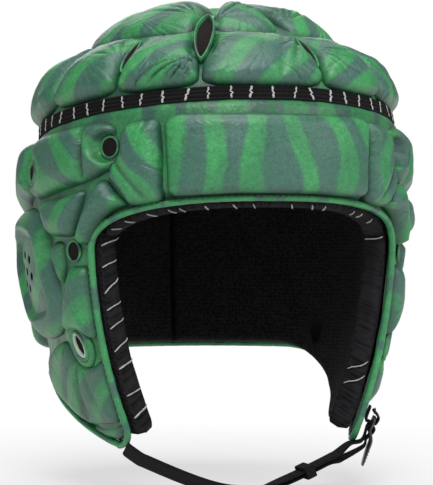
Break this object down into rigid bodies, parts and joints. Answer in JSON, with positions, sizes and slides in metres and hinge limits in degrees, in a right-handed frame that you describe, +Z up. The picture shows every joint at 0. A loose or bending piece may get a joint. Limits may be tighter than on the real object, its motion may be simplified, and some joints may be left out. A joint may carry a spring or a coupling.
{
  "type": "padded sports headguard",
  "caption": "Soft padded headguard with sewn foam pads, an elastic crown band, an open face, ear pads with sound holes, and a webbing chin strap with a ladder-lock buckle.",
  "frame": {"origin": "on the head's centre line at the wearer's eye level, inside the headguard", "axes": "+Z up, -Y the wearer's front, +X the wearer's left"},
  "size_m": [0.2366, 0.2488, 0.2866],
  "materials": {
    "padding": "soft synthetic leather, two greens in swirls",
    "leather": "smooth-grained synthetic leather, two greens",
    "backing": "dark green coated cloth",
    "binding": "folded green binding, topstitched",
    "lining": "black spacer mesh on foam",
    "elastic": "ribbed black elastic with pale dashes",
    "webbing": "black woven webbing",
    "plastic": "black moulded plastic",
    "ring": "pale green moulded ring"
  },
  "bodies": {
    "helmet": {"brow_liner": "lining", "buckle_loop": "webbing", "cheek_pad_left": "padding", "cheek_pad_right": "padding", "crown_cover": "backing", "crown_liner": "lining", "crown_pad_back_side_left": "padding", "crown_pad_back_side_right": "padding", "crown_pad_front": "padding", "crown_pad_front_left": "padding", "crown_pad_front_right": "padding", "crown_pad_rear": "padding", "crown_pad_rear_side_left": "padding", "crown_pad_rear_side_right": "padding", "crown_pad_side_left": "padding", "crown_pad_side_right": "padding", "ear_pad_left": "padding", "ear_pad_right": "padding", "edge_binding": "binding", "elastic_band": "elastic", "eyelet_left": "ring", "eyelet_right": "ring", "forehead_pad": "leather", "jaw_pad_left": "padding", "jaw_pad_right": "padding", "jaw_patch_left": "leather", "jaw_patch_right": "leather", "neck_pad": "padding", "neck_side_pad_left": "padding", "neck_side_pad_right": "padding", "occipital_pad_left": "padding", "occipital_pad_right": "padding", "rear_side_pad_left": "padding", "rear_side_pad_right": "padding", "side_cover": "backing", "side_liner_left": "lining", "side_liner_right": "lining", "sideburn_pad_left": "padding", "sideburn_pad_right": "padding", "strap_lead_left": "webbing", "strap_lead_right": "webbing", "temple_pad_left": "padding", "temple_pad_right": "padding", "temple_roll_left": "padding", "temple_roll_right": "padding", "temple_triangle_pad_left": "padding", "temple_triangle_pad_right": "padding", "top_pad_front": "padding", "top_pad_left": "padding", "top_pad_rear": "padding", "top_pad_right": "padding", "upper_side_pad_left": "padding", "upper_side_pad_right": "padding", "vent_ring_lower_left": "ring", "vent_ring_lower_right": "ring", "vent_ring_upper_left": "ring", "vent_ring_upper_right": "ring"},
    "chin_strap": {"chin_strap": "webbing"},
    "buckle": {"buckle": "plastic"},
    "keeper": {"strap_keeper": "webbing"}
  },
  "joints": [
    {"name": "chin_strap_swing", "type": "hinge", "parent": "helmet", "child": "chin_strap", "pos_m": [0, -0.047, -0.1125], "axis": [-1, 0, 0], "range_deg": [-40, 60]},
    {"name": "buckle_tilt", "type": "hinge", "parent": "helmet", "child": "buckle", "pos_m": [0.07908, -0.0497, -0.09868], "axis": [-0.3403, -0.9403, 0], "range_deg": [0, 20]},
    {"name": "keeper_slide", "type": "slide", "parent": "chin_strap", "child": "keeper", "axis": [0.9194, 0, 0.3933], "range_m": [-0.006, 0.006]}
  ]
}
